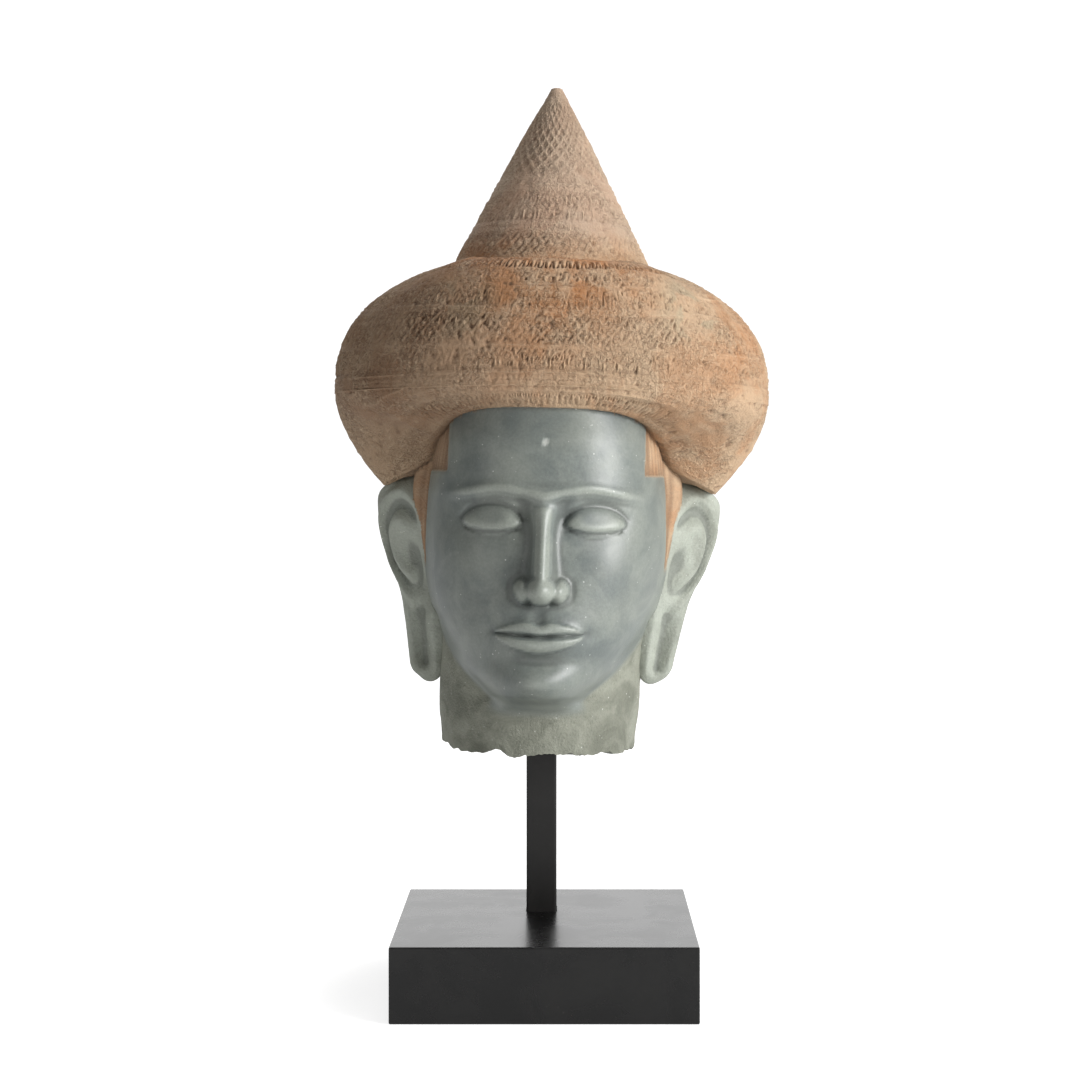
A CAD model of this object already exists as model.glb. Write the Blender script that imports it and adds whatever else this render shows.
"""A carved stone head in a flared, beaded crown with a tall cone, held by a square post on a
black block base. Lengths inside the carving functions are in millimetres, measured from the
ground up before the head leans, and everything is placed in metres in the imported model's frame.
"""

import math

import bmesh
import bpy
import numpy as np
from bpy.props import FloatProperty, FloatVectorProperty, PointerProperty
from bpy.types import Operator, Panel, PropertyGroup
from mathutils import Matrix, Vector, noise


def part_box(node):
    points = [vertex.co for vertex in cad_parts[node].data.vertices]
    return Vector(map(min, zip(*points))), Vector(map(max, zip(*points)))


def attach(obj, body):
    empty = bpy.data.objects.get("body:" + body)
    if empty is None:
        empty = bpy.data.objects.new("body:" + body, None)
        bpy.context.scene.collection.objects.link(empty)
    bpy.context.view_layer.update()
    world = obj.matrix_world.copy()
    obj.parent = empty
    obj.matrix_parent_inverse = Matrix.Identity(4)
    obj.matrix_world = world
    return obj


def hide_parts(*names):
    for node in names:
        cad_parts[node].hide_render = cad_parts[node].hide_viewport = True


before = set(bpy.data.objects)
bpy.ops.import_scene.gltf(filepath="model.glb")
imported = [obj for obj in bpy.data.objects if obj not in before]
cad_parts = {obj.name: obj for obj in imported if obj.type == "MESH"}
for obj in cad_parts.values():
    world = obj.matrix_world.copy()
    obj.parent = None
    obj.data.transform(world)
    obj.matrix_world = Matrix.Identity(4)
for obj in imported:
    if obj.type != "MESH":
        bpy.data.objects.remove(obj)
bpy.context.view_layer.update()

bl_info = {
    "name": "Stone head on a block base",
    "version": (1, 0, 0),
    "blender": (4, 5, 0),
    "location": "3D View > Sidebar > Stone Head",
    "description": "Carves a stone head with a conical crown and sets it on its post and base",
    "category": "Add Mesh",
}

MM = 0.001
BODY = "root"
HEAD_NODE, POST_NODE, BASE_NODE = "stone_head", "support_post", "block_base"
POST_BOX, BASE_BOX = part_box(POST_NODE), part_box(BASE_NODE)
POST_GAP, POCKET_ARRIS = 0.0003, 0.0006
SHARP_EDGE = math.radians(55)

WHITE = (1, 1, 1, 1)
WORK_MIDDLE = Vector((0, 0, 0.33))
WALL_WAY = (0, math.cos(0.2), math.sin(0.2))
FLOOR_HALF = 12.0
PICTURE_PX, SHIFT_X_PX, SHIFT_Y_PX = 1080, -25, -72
CAMERA_X = 0.012


def length(default, name, description):
    """A length property in metres."""
    return FloatProperty(
        name=name, description=description, default=default, min=0.0, unit="LENGTH", precision=5
    )


def offset(default, name, description):
    """A distance to one side or the other, in metres."""
    return FloatProperty(
        name=name, description=description, default=default, unit="LENGTH", precision=4
    )


def strength(default, name, description, unit="NONE"):
    """A number that isn't negative, in watts where the unit is POWER."""
    return FloatProperty(name=name, description=description, default=default, min=0.0, unit=unit)


def angle(default, name, description):
    """An angle property, given in degrees."""
    return FloatProperty(
        name=name, description=description, default=math.radians(default), subtype="ANGLE"
    )


def colour(red, green, blue, name, description):
    """A colour property, given as the eye reads it, from 0 to 255."""
    linear = [((c / 255 + 0.055) / 1.055) ** 2.4 for c in (red, green, blue)]
    return FloatVectorProperty(
        name=name, description=description, default=linear, size=3, min=0, max=1, subtype="COLOR"
    )


class HeadSizes(PropertyGroup):
    """The sizes of the carved head."""

    turn: angle(-1, "Turn", "How far the face is turned from the front of the base")
    lean: angle(1.6, "Lean", "How far the head leans to one side")
    axis_x: offset(-0.0028, "Axis across", "Foot of the head's axis, left to right")
    axis_y: offset(0.0236, "Axis back", "Middle of the neck, front to back")
    aside: offset(-0.0022, "Neck aside", "How far the neck sits beside the axis")
    break_height: length(0.150, "Break height", "Height of the broken underside of the neck")
    chin_height: length(0.182, "Chin height", "Height of the chin")
    face_third: length(0.062, "Third of the face", "Chin to nose, nose to brow and brow to hair")
    face_width: length(0.150, "Face width", "Width of the face over the cheeks")
    crown_half_width: length(0.1344, "Crown half width", "Half the crown's width at its ring")
    crown_front: length(0.0945, "Crown front reach", "Reach of the crown's ring in front")
    crown_back: length(0.114, "Crown back reach", "Reach of the crown's ring behind")
    ring_height: length(0.368, "Ring height", "Height of the middle of the beaded ring")
    apex_height: length(0.5639, "Apex height", "Height where the cone's sides would meet")
    motif_width: length(0.0104, "Motif width", "Width of one carved motif round the crown")
    carving_depth: length(0.0014, "Carving depth", "Depth of the carving on the crown")
    chip_depth: length(0.0014, "Chip depth", "Roughness of the broken neck")


class StoneColours(PropertyGroup):
    """The colours of the stone."""

    crown_tan: colour(176, 149, 120, "Crown", "Tan of the crown")
    cone_tan: colour(168, 149, 132, "Cone", "Greyer tan of the cone")
    crown_rust: colour(162, 112, 70, "Crown rust", "Orange stains on the crown")
    crown_lichen: colour(146, 145, 122, "Crown lichen", "Grey-green patches on the crown")
    crown_soot: colour(110, 84, 62, "Crown soot", "Brown dirt on one side of the crown")
    crown_pit: colour(92, 66, 45, "Crown pits", "Dirt at the bottom of the carving")
    crown_ridge: colour(200, 177, 148, "Crown ridges", "Pale rubbed ridges of the carving")
    face_grey: colour(119, 124, 118, "Face", "Rubbed grey-green of the face")
    face_blue: colour(97, 104, 102, "Face dark", "Bluer clouds in the face")
    neck_dark: colour(108, 110, 98, "Neck dark", "Darker dirt on the neck and ears")
    face_pale: colour(166, 171, 160, "Face edges", "Pale rubbed edges of the face")
    neck_olive: colour(141, 143, 130, "Neck", "Matt olive of the neck and ears")
    chip_pale: colour(236, 238, 230, "Chip", "Fresh stone in chips and specks")


class MountFinish(PropertyGroup):
    """The black finish of the post and the block."""

    post_black: colour(27, 26, 25, "Post", "Black of the post")
    block_black: colour(12, 12, 12, "Block", "Black of the block base")
    scuff: colour(70, 68, 66, "Scuffs", "Grey of rubbed edges and fine scuffs")
    post_arris: length(0.0012, "Post edge", "Rounding of the post's long edges")
    block_arris: length(0.0009, "Block edge", "Rounding of the block's edges")


class StageLight(PropertyGroup):
    """The lights, the floor and the camera."""

    key_power: strength(38.0, "Key light", "Power of the large light on the right", "POWER")
    fill_power: strength(2.6, "Fill light", "Power of the weak light on the left", "POWER")
    top_power: strength(12.0, "Top light", "Power of the light overhead", "POWER")
    room_light: strength(0.15, "Room light", "Strength of the pale room")
    backdrop: strength(1.5, "Backdrop", "Strength of the bright wall behind")
    floor_glow: strength(0.46, "Floor glow", "Light that the white floor gives")
    camera_height: length(0.3216, "Camera height", "Height of the camera")
    camera_distance: length(1.381, "Camera distance", "Camera to the middle of the base")
    focal_px: strength(2235.0, "Focal length", "In pixels of a 1080 pixel picture")


# Curves and blends

def gauss(t):
    """A round bump that is 1 at 0 and fades within about 2."""
    return np.exp(-np.square(t))


def smoothstep(a, b, t):
    """A soft step from 0 at a to 1 at b, either way round."""
    s = np.clip((t - a) / (b - a), 0, 1)
    return s * s * (3 - 2 * s)


def smooth_max(a, b, blend):
    """The larger of two values, rounded where they are within a blend of each other."""
    h = np.maximum(blend - np.abs(a - b), 0) / blend
    return np.maximum(a, b) + h * h * blend / 4


def along(*stations):
    """A smooth curve through (height, value) stations, which runs level past its ends."""
    z, value = np.array(sorted(stations), float).T
    chord = np.diff(value) / np.diff(z)
    slope = np.zeros(len(z))
    same_way = chord[:-1] * chord[1:] > 0
    both = np.where(same_way, chord[:-1] + chord[1:], 1)
    slope[1:-1] = np.where(same_way, 2 * chord[:-1] * chord[1:] / both, 0)

    def curve(at):
        at = np.clip(at, z[0], z[-1])
        i = np.clip(np.searchsorted(z, at, side="right") - 1, 0, len(z) - 2)
        span = z[i + 1] - z[i]
        t = (at - z[i]) / span
        return (
            (2 * t**3 - 3 * t**2 + 1) * value[i]
            + (t**3 - 2 * t**2 + t) * slope[i] * span
            + (3 * t**2 - 2 * t**3) * value[i + 1]
            + (t**3 - t**2) * slope[i + 1] * span
        )

    return curve


def oval(a, w, d, power):
    """Radius of a rounded oval of half width w and reach d, towards the angle a."""
    return (np.abs(np.sin(a) / w) ** power + np.abs(np.cos(a) / d) ** power) ** (-1 / power)


def stops(*stations):
    """Stops from the first place to the last, as far apart as each (place, gap) station asks."""
    place, gap = np.array(stations, float).T
    fine = np.linspace(place[0], place[-1], 4000)
    count = np.concatenate([[0], np.cumsum(np.diff(fine) / np.interp(fine[1:], place, gap))])
    steps = max(1, round(count[-1]))
    return np.interp(np.linspace(0, count[-1], steps + 1), count, fine)


def stops_round(*stations):
    """Angles all the way round, symmetric about the front, from stations on one side."""
    half = np.radians(stops(*stations))
    return np.concatenate([-half[::-1], half[1:]])


def rough(points, size, octaves=3):
    """Fractal noise of about -1 to 1 at each point, with features of the given size."""
    flat = points.reshape(-1, 3) / size
    values = [noise.fractal(Vector(p), 1.0, 2.0, octaves) for p in flat]
    return np.array(values).reshape(points.shape[:-1])


def blurred(field, passes):
    """A field on a grid that is closed from left to right, smoothed by so many passes."""
    for _ in range(passes):
        ring = field[:, :-1]
        ring = (np.roll(ring, 1, 1) + 2 * ring + np.roll(ring, -1, 1)) / 4
        field = np.concatenate([ring, ring[:, :1]], 1)
        padded = np.concatenate([field[:1], field, field[-1:]])
        field = (padded[:-2] + 2 * field + padded[2:]) / 4
    return field


# Skins made from a grid

NO_MARKS = dict.fromkeys(("crown", "hollow", "matt", "ear", "chip", "round", "rise"), 0.0)


def outward(places):
    """Unit normals of a skin whose columns close up, pointing out."""
    ring = places[:, :-1]
    across = np.roll(ring, -1, 1) - np.roll(ring, 1, 1)
    across = np.concatenate([across, across[:, :1]], 1)
    normal = np.cross(across, np.gradient(places, axis=0))
    return normal / np.maximum(np.linalg.norm(normal, axis=2, keepdims=True), 1e-9)


def closed_skin(name, places, marks):
    """A closed object from a grid whose points are moved to places, in metres. Its first and
    last columns meet, and each end row meets in a point. marks are named values per point, and
    are 0 where they aren't given. The mark known is 1 on every point."""
    rows, columns = places.shape[0] - 1, places.shape[1] - 1
    skin = bmesh.new()
    bmesh.ops.create_grid(skin, x_segments=columns, y_segments=rows, size=0.5)
    for vertex, place in zip(skin.verts, places.reshape(-1, 3)):
        vertex.co = place
    for mark, values in {**NO_MARKS, **marks, "known": 1.0}.items():
        layer = skin.verts.layers.float.new(mark)
        for vertex, value in zip(skin.verts, np.broadcast_to(values, places.shape[:2]).flat):
            vertex[layer] = value
    bmesh.ops.remove_doubles(skin, verts=skin.verts, dist=1e-6)
    bmesh.ops.recalc_face_normals(skin, faces=skin.faces)
    if not all(edge.is_manifold for edge in skin.edges):
        raise RuntimeError(name + " isn't closed")
    return finished(name, skin)


def finished(name, skin, smooth=True):
    """An object at the origin from a bmesh."""
    for face in skin.faces:
        face.smooth = smooth
    mesh = bpy.data.meshes.new(name)
    skin.to_mesh(mesh)
    skin.free()
    piece = bpy.data.objects.new(name, mesh)
    bpy.context.scene.collection.objects.link(piece)
    return piece


def joined(piece, others, operation="UNION"):
    """Joins or cuts piece with the others, one after another, and removes them."""
    for other in others:
        step = piece.modifiers.new("join", "BOOLEAN")
        step.operation, step.solver, step.object = operation, "MANIFOLD", other
        graph = bpy.context.evaluated_depsgraph_get()
        mesh = bpy.data.meshes.new_from_object(piece.evaluated_get(graph), depsgraph=graph)
        piece.modifiers.clear()
        if len(mesh.polygons) <= len(piece.data.polygons) / 2:
            raise RuntimeError(other.name + " didn't join")
        piece.data = mesh
        bpy.data.objects.remove(other)
    return piece


def marked_seams(piece):
    """Gives the corners that a join made, which have no marks, the average of their neighbours'."""
    skin = bmesh.new()
    skin.from_mesh(piece.data)
    marks = skin.verts.layers.float
    known = marks["known"]
    unknown = [v for v in skin.verts if v[known] < 1]
    while unknown:
        for v in unknown:
            near = [n for n in (e.other_vert(v) for e in v.link_edges) if n[known] == 1]
            if near:
                for layer in marks.values():
                    v[layer] = sum(n[layer] for n in near) / len(near)
        left = [v for v in unknown if v[known] < 1]
        if len(left) == len(unknown):
            raise RuntimeError(piece.name + " has corners away from every marked one")
        unknown = left
    marks.remove(known)
    skin.to_mesh(piece.data)
    skin.free()


def bevelled_box(name, low, high, arris, segments=3):
    """A box with rounded edges between two corners."""
    block = bmesh.new()
    bmesh.ops.create_cube(block, size=1.0)
    bmesh.ops.scale(block, vec=high - low, verts=block.verts)
    bmesh.ops.translate(block, vec=(low + high) / 2, verts=block.verts)
    bmesh.ops.bevel(
        block, geom=block.edges[:], offset=arris, affect="EDGES", segments=segments, profile=0.5,
        material=-1,
    )
    return finished(name, block, smooth=False)


def post_pocket():
    """A block with a gap round the post, which cuts the post's room in the head and the base."""
    gap = Vector((POST_GAP, POST_GAP, POST_GAP))
    return bevelled_box("pocket", POST_BOX[0] - gap, POST_BOX[1] + gap, POCKET_ARRIS, 1)


# The shape of the head

AXIS_FORWARD = 11.6
NECK_HALF, NECK_FLARE = 60.3, 2.4
THROAT, SKULL_TOP = 170.0, 364.0
CHIP_Z, CHIP_RADIUS = 336, 1.5
EAR_SPAN = (187.0, 315.0)
CROWN_X, CONE_X = 0.6, -1.4
HEM_FRONT_Z, HEM_SIDE_Z, HEM_BACK_Z = 357, 308, 288
HEM_CLEARANCE, HEM_OVER_EAR = 4.5, 22
RING_HALF, RING_RISE = 4.5, 5.5
WALL_SIDE_HEIGHT, WALL_FRONT_HEIGHT = 81, 68.5
WALL_SIDE_POWER, WALL_FRONT_POWER = 2.23, 3.4
WALL_TOP_RADIUS = 64
WALL_ROWS = 77
CROWN_FLOOR_Z, CROWN_CAP_Z = 330.0, 425.0
NICK_Z, NICK_RADIUS = 394.0, 4.5
CONE_FLOOR_Z = 436.0
CONE_SLOPE, CONE_CURVE = 0.545, 0.000197


class Carving:
    """The head's forms, in millimetres, worked out from its sizes."""

    def __init__(self, sizes):
        lengths = [name for name in sizes.__annotations__ if name not in ("turn", "lean")]
        mm = {name: getattr(sizes, name) / MM for name in lengths}
        self.turn, self.lean = sizes.turn, sizes.lean
        self.foot = Vector((mm["axis_x"], mm["axis_y"], mm["break_height"]))
        self.neck_aside = mm["aside"]
        self.break_z = mm["break_height"]
        self.chin = mm["chin_height"]
        self.third = mm["face_third"]
        self.nose_base = self.chin + self.third
        self.brow = self.nose_base + self.third
        self.eye = self.brow - 14
        self.mouth = self.nose_base - self.third / 3
        self.half_face = mm["face_width"] / 2
        self.eye_x = mm["face_width"] / 5
        self.crown_half = mm["crown_half_width"]
        self.crown_front, self.crown_back = mm["crown_front"], mm["crown_back"]
        self.ring = mm["ring_height"]
        self.apex = mm["apex_height"]
        self.motif = mm["motif_width"]
        self.depth = mm["carving_depth"]
        self.chip = mm["chip_depth"]
        c = self.chin
        self.mask_width = along(
            (THROAT, 46), (c - 6, 40), (c, 33), (c + 5, 36), (c + 11, 42), (c + 20, 50),
            (c + 32, 57.5), (c + 48, 65.5), (c + 68, 72), (c + 93, self.half_face),
            (c + 118, 74), (c + 148, 71), (c + 180, 66),
        )
        self.mask_reach = along(
            (THROAT, 48), (c - 6, 56), (c, 70), (c + 5, 79), (c + 14, 83), (c + 26, 81.5),
            (c + 40, 84), (c + 62, 85.5), (c + 88, 86), (self.brow, 88), (c + 153, 87.5),
            (c + 180, 82),
        )
        self.skull_back = along((215, 74), (240, 84), (270, 95), (300, 99), (340, 92))
        self.skull_width = along((215, 58), (240, 68), (270, 73), (300, 73), (340, 68))

    def placed(self, points):
        """Points of the upright head, in millimetres, where they really are, in metres."""
        x, y, z = np.moveaxis(points, -1, 0)
        y, z = y - AXIS_FORWARD, z - self.break_z
        turned_x = x * math.cos(self.turn) - y * math.sin(self.turn)
        turned_y = x * math.sin(self.turn) + y * math.cos(self.turn)
        leaned_x = turned_x * math.cos(self.lean) + z * math.sin(self.lean)
        leaned_z = z * math.cos(self.lean) - turned_x * math.sin(self.lean)
        placed = np.stack([leaned_x, turned_y, leaned_z], -1) + np.array(self.foot)
        return placed * MM

    def aside(self, z):
        """How far the lower head steps aside, down to the neck."""
        return self.neck_aside * smoothstep(270, 165, z)

    def temple_hair(self, a, z):
        """Hair that swells out between the face and the ear, under the crown."""
        degrees = np.abs(np.degrees(a))
        beside = smoothstep(74, 88, degrees) * smoothstep(128, 100, degrees)
        return 10 * beside * smoothstep(256, 314, z)

    def neck_radius(self, a, z):
        """Radius of the round neck, whose middle lies behind the head's own axis."""
        half = NECK_HALF + NECK_FLARE * smoothstep(self.break_z, 180, z)
        return -AXIS_FORWARD * np.cos(a) + np.sqrt(half**2 - (AXIS_FORWARD * np.sin(a)) ** 2)

    def mask_radius(self, a, z):
        """Radius of the face's own form, from the throat up."""
        face = oval(a, self.mask_width(z), self.mask_reach(z), 2.25)
        return np.where(z > THROAT, np.where(np.cos(a) > 0, face, self.mask_width(z) * 0.9), 0)

    def head_radius(self, a, z):
        """Radius of the plain head, without its features, about its own axis."""
        front = np.cos(a) > 0
        skull = oval(a, self.skull_width(z), np.where(front, 60, self.skull_back(z)), 2.1)
        r = smooth_max(self.neck_radius(a, z), skull * smoothstep(205, 236, z), 10)
        return smooth_max(r, self.mask_radius(a, z), 9) + self.temple_hair(a, z)

    def plan(self, a):
        """The crown's radius at its ring."""
        reach = np.where(np.cos(a) > 0, self.crown_front, self.crown_back)
        return oval(a, self.crown_half, reach, 2.2)

    def ring_z(self, a):
        """Height of the middle of the beaded ring, which rises a little in front."""
        return self.ring + RING_RISE * np.maximum(0, np.cos(a)) ** 2

    def hem_z(self, a):
        """Height of the crown's lower edge: an arch over the forehead, then down to the ears."""
        degrees = np.abs(np.degrees(a))
        arch = HEM_FRONT_Z - 14 * (np.minimum(degrees, 60) / 55) ** 3
        side = HEM_SIDE_Z + (HEM_BACK_Z - HEM_SIDE_Z) * smoothstep(100, 130, degrees)
        return arch + (side - arch) * smoothstep(62, 94, degrees)

    def hem_radius(self, a):
        """The hem lies close to the head in front and behind, and stands out over the ears."""
        degrees = np.abs(np.degrees(a))
        over_ear = smoothstep(76, 94, degrees) * smoothstep(135, 104, degrees)
        hem = self.hem_z(a)
        beside = self.head_radius(a, hem) - self.temple_hair(a, hem) / 2
        return beside + HEM_CLEARANCE + HEM_OVER_EAR * over_ear

    def cone_radius(self, z):
        """Radius of the cone, whose sides bulge a little."""
        down = self.apex - z
        return CONE_SLOPE * down - CONE_CURVE * down**2


# The face, to a canon of thirds and fifths

def lips(c, ax, z):
    """Full lips round a level parting line, with a fine raised outline."""
    t = ax / 27
    inside = np.clip(1 - t**2, 0, 1)
    parting = c.mouth + 1.2 * t**2 - 0.6 * gauss(ax / 7)
    upper_edge = parting + (9.0 + 0.5 * gauss((ax - 7) / 5) - 1.6 * gauss(ax / 5)) * inside**0.75
    lower_edge = parting - 10.0 * inside**0.6
    up = np.clip((z - parting) / np.maximum(upper_edge - parting, 1), 0, 1)
    down = np.clip((parting - z) / np.maximum(parting - lower_edge, 1), 0, 1)
    taper = inside**0.5
    d = 3.6 * (4 * up * (1 - up)) ** 0.7 * taper
    d += 4.6 * (4 * down * (1 - down)) ** 0.7 * taper
    edge = gauss((z - upper_edge) / 2.2) + gauss((z - lower_edge) / 2.4)
    d += 0.7 * edge * smoothstep(29, 18, ax)
    d -= 1.7 * gauss((z - parting) / 1.7) * smoothstep(31, 22, ax)
    d -= 1.1 * gauss((ax - 30) / 4.5) * gauss((z - c.mouth - 1) / 5.5)
    return d + 4.4 * gauss(ax / 31) * gauss((z - c.mouth) / 18)


def dome(across, up, power):
    """A rounded swelling that ends where across and up meet the unit circle."""
    return np.clip(1 - across**2 - up**2, 0, 1) ** power


def nose(c, ax, z):
    """A straight nose with a rounded tip, rounded wings and two nostrils."""
    base = c.nose_base
    reach = along(
        (base + 1, 0), (base + 6, 16.5), (base + 12, 17.5), (base + 28, 14), (base + 41, 9.8),
        (base + 52, 6.5), (base + 61, 3), (base + 70, 0),
    )
    width = along((base, 8), (base + 18, 7), (base + 38, 6.2), (base + 52, 8), (base + 62, 13))
    d = reach(z) * np.exp(-((ax / width(z)) ** 2.2))
    tip = 20.4 * dome(ax / 11, (z - base - 6.5) / 9.5, 0.55)
    wing_up = (z - base - 5.8 - 0.12 * (ax - 11)) / 7.6
    wing = 13.5 * dome((ax - 10.2) / 6.6, wing_up, 0.6)
    d = smooth_max(smooth_max(d, tip, 4), wing, 3)
    d += 1.2 * gauss(ax / 19) * gauss((z - base - 8) / 14)
    d -= 0.9 * gauss((ax - 18.4) / 2.6) * gauss((z - base - 6) / 7)
    d -= 3.0 * gauss((ax - 7) / 2.6) * gauss((z - base + 0.6) / 1.8)
    return d - 0.9 * gauss(ax / 3.6) * gauss((z - base + 8.5) / 6)


def eyes(c, ax, z):
    """Lowered lids over full eyes, under a long level brow."""
    out = np.clip(np.abs(ax - c.eye_x - 0.5) / 18, 0, 1)
    almond = 1 - out**2.2
    brow = c.brow - 1 + 4.5 * gauss((ax - 27) / 20)
    middle = c.eye - 2.5
    d = -5.6 * gauss((ax - c.eye_x - 1) / 21) * gauss((z - c.eye) / 12)
    d -= 2.6 * gauss((ax - 12) / 5.5) * gauss((z - c.eye - 2) / 10)
    above = (z - middle) / (1.0 + 9.0 * almond**0.7)
    below = (z - middle) / (1.0 + 7.6 * almond**0.8)
    ball = np.clip(1 - np.where(z > middle, above, below) ** 2, 0, 1)
    d += 5.4 * ball * almond**0.6
    margin = middle - 1.6 - 3.0 * almond
    open_part = smoothstep(0.0, 0.35, almond)
    d += 0.9 * smoothstep(margin - 0.9, margin + 0.9, z) * gauss((z - margin) / 5) * open_part
    d -= 1.2 * gauss((z - margin + 1.3) / 1.2) * open_part
    d += 0.5 * gauss((z - margin + 3.4) / 1.5) * open_part
    fold = gauss((z - middle - 2.4 - 8.6 * almond**0.7) / 1.7)
    d -= 0.9 * fold * smoothstep(23, 17, np.abs(ax - c.eye_x))
    d += 2.3 * gauss((z - brow) / 3.8) * smoothstep(66, 44, ax)
    return d - 0.8 * gauss((z - brow + 5.6) / 2.6) * smoothstep(62, 42, ax)


def face_relief(c, x, z):
    """How far the features stand in front of the plain head."""
    ax = np.abs(x)
    d = eyes(c, ax, z) + nose(c, ax, z) + lips(c, ax, z)
    d -= 2.6 * gauss(ax / 20) * gauss((z - c.chin - 26) / 4.5)
    d += 4.2 * gauss(ax / 18) * gauss((z - c.chin - 13) / 9)
    return d + 2.0 * gauss((ax - 44) / 18) * gauss((z - c.nose_base - 18) / 20)


def hair_band(c, x, a, z):
    """1 in the plain band of hair between the face's squared edge and the crown, else 0."""
    ax = np.abs(x)
    temple = smoothstep(59.0, 60.2, ax) * smoothstep(c.brow + 12, c.brow + 13.5, z)
    side = smoothstep(np.radians(73), np.radians(74.5), np.abs(a)) * smoothstep(258, 266, z)
    return np.clip(temple + side, 0, 1)


def head_skin(c):
    """The neck, the face and the skull, up to where the crown hides them."""
    a = stops_round((0, 0.86), (38, 0.95), (50, 1.7), (80, 1.8), (104, 4.2), (180, 6.0))
    z = stops((c.break_z, 1.8), (THROAT, 2.4), (c.chin + 2, 1.25), (c.brow + 6, 1.25), (324, 2.4),
              (SKULL_TOP, 4))
    a, z = np.meshgrid(a, z)
    r = c.head_radius(a, z)
    x = r * np.sin(a)
    facing = smoothstep(0.25, 0.6, np.cos(a)) * smoothstep(c.chin - 1, c.chin + 6, z)
    relief = face_relief(c, x, z) * facing
    band = hair_band(c, x, a, z)
    y = -r * np.cos(a) - relief
    skin = np.stack([x + c.aside(z), y, z], -1)
    chip = np.exp(-((x**2 + (z - CHIP_Z) ** 2) / CHIP_RADIUS**2) ** 2) * (y < 0)
    jaw = c.mask_radius(a, z) - c.neck_radius(a, z)
    below_jaw = smoothstep(3, -3, jaw) * smoothstep(246, 226, z)
    behind_ears = smoothstep(86, 96, np.abs(np.degrees(a)))
    neck = np.maximum.reduce([below_jaw, smoothstep(THROAT + 8, THROAT - 4, z), behind_ears])
    wear = 0.10 * rough(skin, 16) + neck * (0.35 * rough(skin, 9) + 0.5 * rough(skin, 26))
    strands = 0.2 * np.cos(a * 130 + 0.08 * z)
    lift = wear - 1.0 * band + band * strands - 0.9 * chip
    skin = skin + outward(skin) * lift[..., None]
    waves = 1.1 * (np.sin(3 * a + 1) + 0.7 * np.sin(8 * a) + 0.5 * np.sin(13 * a + 2))
    near_break = smoothstep(c.break_z + 11, c.break_z, z)
    crumbled = rough(skin, 7, 4)
    skin[..., 2] += near_break * (waves - 1.7 * np.cos(a) + 1.3 * c.chip * crumbled)
    skin[..., :2] *= 1 - (0.012 * near_break * np.abs(crumbled))[..., None]
    fine = relief + lift
    hollow = (fine - blurred(fine, 12)) / 1.6 + 0.5
    inner = skin[:1].copy()
    middle = np.array([c.neck_aside, AXIS_FORWARD, c.break_z + 2.0])
    shares = np.array([0, 0.14, 0.3, 0.44, 0.57, 0.69, 0.8, 0.9, 0.965])[:, None, None]
    floor = middle + (inner - middle) * shares
    pits = rough(floor, 11, 4) * np.sin(np.pi * shares[..., 0]) ** 0.5
    floor[..., 2] += 2.4 * c.chip * pits
    floor[0] = middle
    cap = np.broadcast_to([0.0, 0.0, z.max() + 6], inner.shape)
    whole = np.concatenate([floor, skin, cap])

    def over(values, under, top):
        """A mark's values, between one value for the break and one for the hidden top."""
        return np.pad(values, ((len(floor), 1), (0, 0)), constant_values=((under, top), (0, 0)))

    marks = {
        "crown": over(band, 0, 1),
        "hollow": over(np.clip(hollow - 0.1 * band, 0, 1), 0.45, 0.5),
        "matt": over(np.clip(neck + band, 0, 1), 1, 1),
        "chip": over(chip, 0.15, 0),
    }
    return closed_skin("head", c.placed(whole), marks)


# Motifs of the carving, each from 0 in its ground to 1 on its highest ridge

def cell(u):
    """Place across a cell, from -1 to 1."""
    return (u - np.floor(u)) * 2 - 1


def foliage(u, v):
    """Small crowded leaves, to fill the ground of a motif."""
    x = 2 * np.pi * (u + 0.13 * np.sin(2 * np.pi * v * 1.3))
    y = 2 * np.pi * (v + 0.11 * np.sin(2 * np.pi * u))
    return np.clip(0.5 + 0.55 * np.sin(2 * x + y) * np.cos(3 * y - x), 0, 1)


def lattice(u, v):
    """A lattice of diamonds round deep pits, each with a small boss."""
    p, q = u + v, u - v
    p, q = p - np.floor(p) - 0.5, q - np.floor(q) - 0.5
    edge = 0.5 - np.maximum(np.abs(p), np.abs(q))
    return np.maximum(gauss(edge / 0.13), 0.45 * gauss(np.hypot(p, q) / 0.13))


def lozenges(u, v):
    """A lattice of diamonds, each with a four-petalled flower."""
    p, q = u + v, u - v
    p, q = p - np.floor(p) - 0.5, q - np.floor(q) - 0.5
    edge = 0.5 - np.maximum(np.abs(p), np.abs(q))
    x, y = p + q, p - q
    r, turn = np.hypot(x, y), np.arctan2(y, x)
    flower = smoothstep(-0.05, 0.12, 0.12 + 0.3 * np.abs(np.cos(2 * turn)) - r)
    return np.maximum(gauss(edge / 0.085), 0.9 * flower)


def petals(u, v):
    """A row of pointed upright petals with midribs and a spike between each two."""
    x = cell(u)
    v = np.clip(v, 0, 1)
    inside = 1 - np.abs(x) / (0.06 + 0.86 * (1 - v**2.4))
    petal = smoothstep(0.0, 0.4, inside) * (0.72 + 0.28 * gauss(x / 0.2))
    spike = smoothstep(0, 0.4, 1 - (1 - np.abs(x)) / (0.02 + 0.42 * v))
    return np.maximum(petal, 0.7 * spike)


def rosette(x, y, count):
    """A round flower with a boss in its middle."""
    r, turn = np.hypot(x, y), np.arctan2(y, x)
    leaf = (0.5 + 0.5 * np.cos(count * turn)) * smoothstep(0.28, 0.45, r) * smoothstep(1.0, 0.8, r)
    return np.maximum(gauss(r / 0.24), leaf)


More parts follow.
